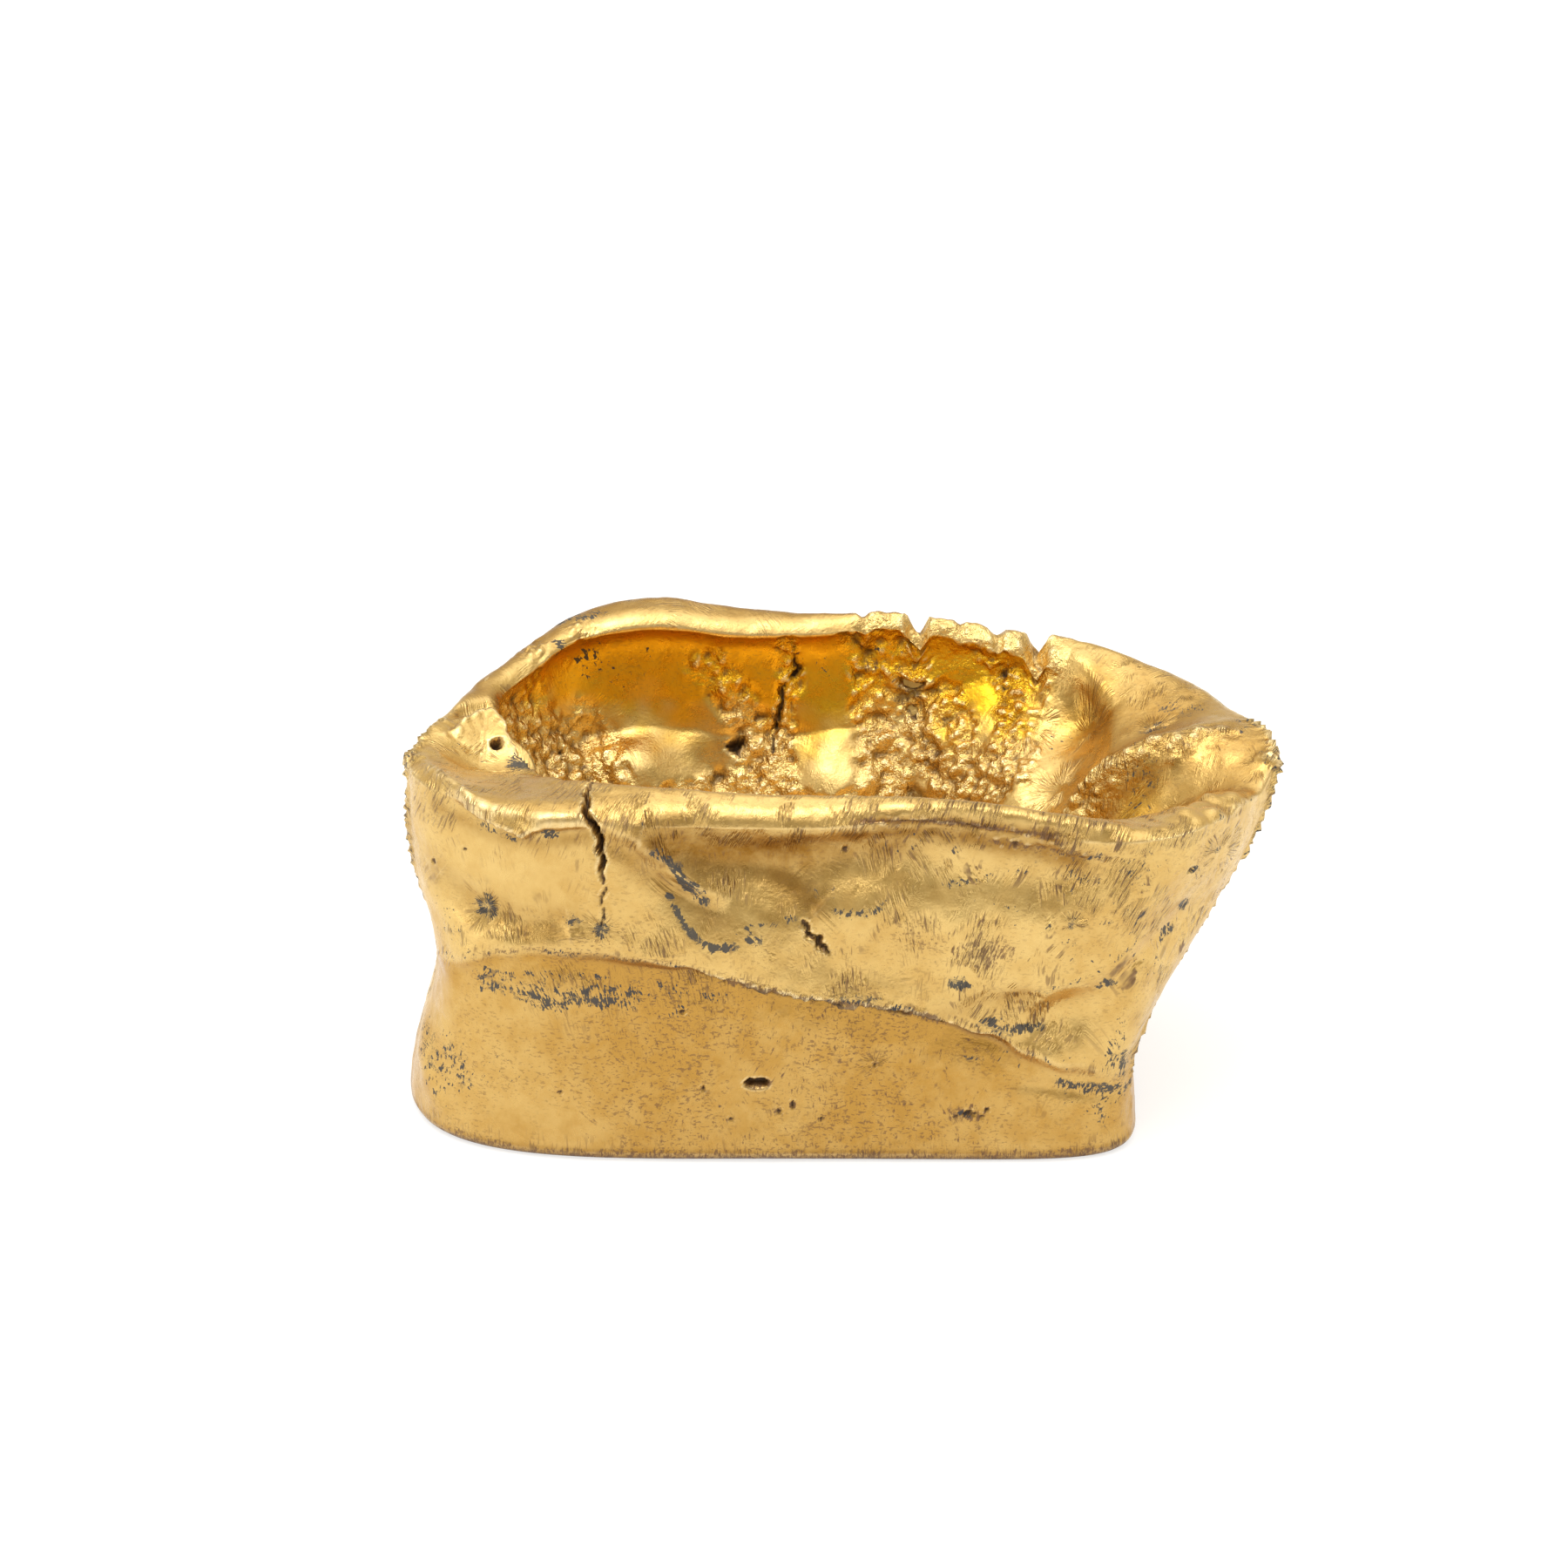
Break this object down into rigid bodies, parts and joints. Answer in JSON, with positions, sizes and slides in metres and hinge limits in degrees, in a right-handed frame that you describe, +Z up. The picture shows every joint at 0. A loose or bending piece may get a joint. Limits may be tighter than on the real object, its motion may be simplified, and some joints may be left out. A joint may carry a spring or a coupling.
{
  "type": "crumpled cast vessel",
  "caption": "Small open vessel cast in one piece like a crumpled thick-walled bag, with folded ends, a rolled brim and a pulled-out spout corner.",
  "frame": {"origin": "middle of the outline at the height of the flat foot, on the surface that the vessel stands on", "axes": "+X along the long side, from the folded end to the spout; +Y from the front wall with the fold to the back wall; +Z up"},
  "size_m": [0.1652, 0.097, 0.0783],
  "materials": {
    "gilt_bronze": "gilded cast bronze, satin to polished, with fine cast striations and blue-grey to brown patina in the hollows"
  },
  "bodies": {
    "root": {"vessel": "gilt_bronze"}
  },
  "joints": []
}
